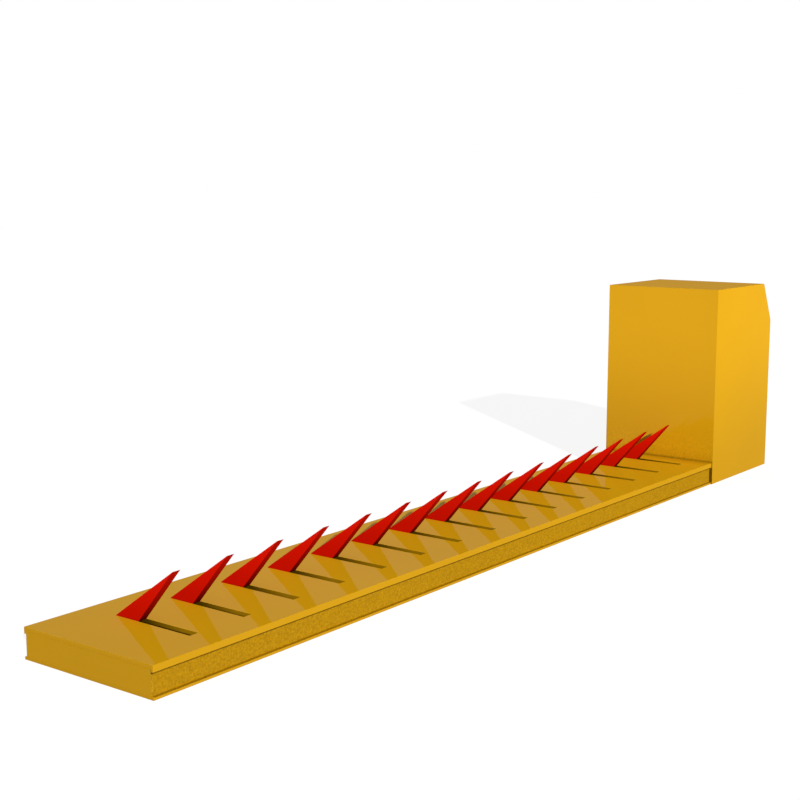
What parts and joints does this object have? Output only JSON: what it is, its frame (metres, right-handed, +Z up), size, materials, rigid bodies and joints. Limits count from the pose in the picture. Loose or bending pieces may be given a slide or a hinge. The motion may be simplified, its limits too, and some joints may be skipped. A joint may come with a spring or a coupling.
{
  "type": "tyre spike strip",
  "caption": "Raised steel strip across a lane; a shaft turns its row of leaning spikes down through slots in the cover. A cabinet with a sloped back and a hinged door holds the drive.",
  "frame": {"origin": "centre of the part's outline at ground level", "axes": "+X along the strip from its free end to the cabinet, +Y across it from the side the spikes lean towards to the side of their shaft, +Z up"},
  "size_m": [3.6935, 0.505, 0.815],
  "materials": {
    "yellow_paint": "gloss",
    "red_paint": "gloss",
    "zinc_steel": "satin",
    "hinge_steel": "satin",
    "ground_steel": "polished",
    "dark_steel": "satin",
    "forged_steel": "matte",
    "bronze": "satin",
    "tube_aluminium": "satin",
    "gearbox_paint": "satin",
    "motor_paint": "satin",
    "sensor_plastic": "matte",
    "box_plastic": "matte",
    "black_plastic": "matte",
    "seal_rubber": "matte"
  },
  "bodies": {
    "frame": {"base_plate": "yellow_paint", "near_rail": "yellow_paint", "far_rail": "yellow_paint", "end_plate": "yellow_paint", "drive_end_plate": "yellow_paint", "bearing_plate_1": "yellow_paint", "bearing_plate_2": "yellow_paint", "bearing_plate_3": "yellow_paint", "bearing_plate_4": "yellow_paint", "bearing_plate_5": "yellow_paint", "cover_ribs": "yellow_paint", "cover_plate": "yellow_paint", "cover_screws": "zinc_steel", "shaft_bushes": "bronze", "actuator_tube": "tube_aluminium", "actuator_gearbox": "gearbox_paint", "actuator_motor": "motor_paint", "actuator_bracket": "yellow_paint", "tube_saddle": "yellow_paint", "sensor_bracket": "zinc_steel", "position_sensors": "sensor_plastic", "control_box": "box_plastic", "control_lid": "box_plastic", "cable_glands": "black_plastic", "cabinet_base": "yellow_paint", "cabinet_shell": "yellow_paint", "shell_bolts": "zinc_steel", "joining_bolts": "zinc_steel", "door_frame": "yellow_paint", "door_seal": "seal_rubber", "frame_hinge_leaves": "hinge_steel", "hinge_pins": "ground_steel"},
    "spike_rotor": {"spike_shaft": "ground_steel", "spike_01": "red_paint", "spike_02": "red_paint", "spike_03": "red_paint", "spike_04": "red_paint", "spike_05": "red_paint", "spike_06": "red_paint", "spike_07": "red_paint", "spike_08": "red_paint", "spike_09": "red_paint", "spike_10": "red_paint", "spike_11": "red_paint", "spike_12": "red_paint", "spike_13": "red_paint", "spike_14": "red_paint", "spike_15": "red_paint", "cross_pins": "dark_steel", "shaft_collars": "dark_steel", "crank_lever": "forged_steel"},
    "ram": {"actuator_ram": "ground_steel", "ram_fork": "forged_steel", "drive_pin": "ground_steel", "pin_clips": "dark_steel"},
    "door": {"cabinet_door": "yellow_paint", "door_hinge_leaves": "hinge_steel", "lock_barrel": "hinge_steel"},
    "lock": {"lock_cam": "hinge_steel"}
  },
  "joints": [
    {"name": "spike_turn", "type": "hinge", "parent": "frame", "child": "spike_rotor", "pos_m": [0, 0.195, 0.052], "axis": [1, 0, 0], "range_deg": [0, 28.49]},
    {"name": "ram_slide", "type": "slide", "parent": "frame", "child": "ram", "axis": [0, 1, 0], "range_m": [-0.04824, 0]},
    {"name": "door_swing", "type": "hinge", "parent": "frame", "child": "door", "pos_m": [1.84075, 0.21, 0.34], "axis": [0, 0, 1], "range_deg": [0, 110]},
    {"name": "lock_turn", "type": "hinge", "parent": "door", "child": "lock", "pos_m": [1.83425, -0.172, 0.34], "axis": [-1, 0, 0], "range_deg": [0, 90]}
  ],
  "couplings": [
    {"joint": "ram_slide", "follows": "spike_turn", "m_per_rad": -0.097008}
  ]
}
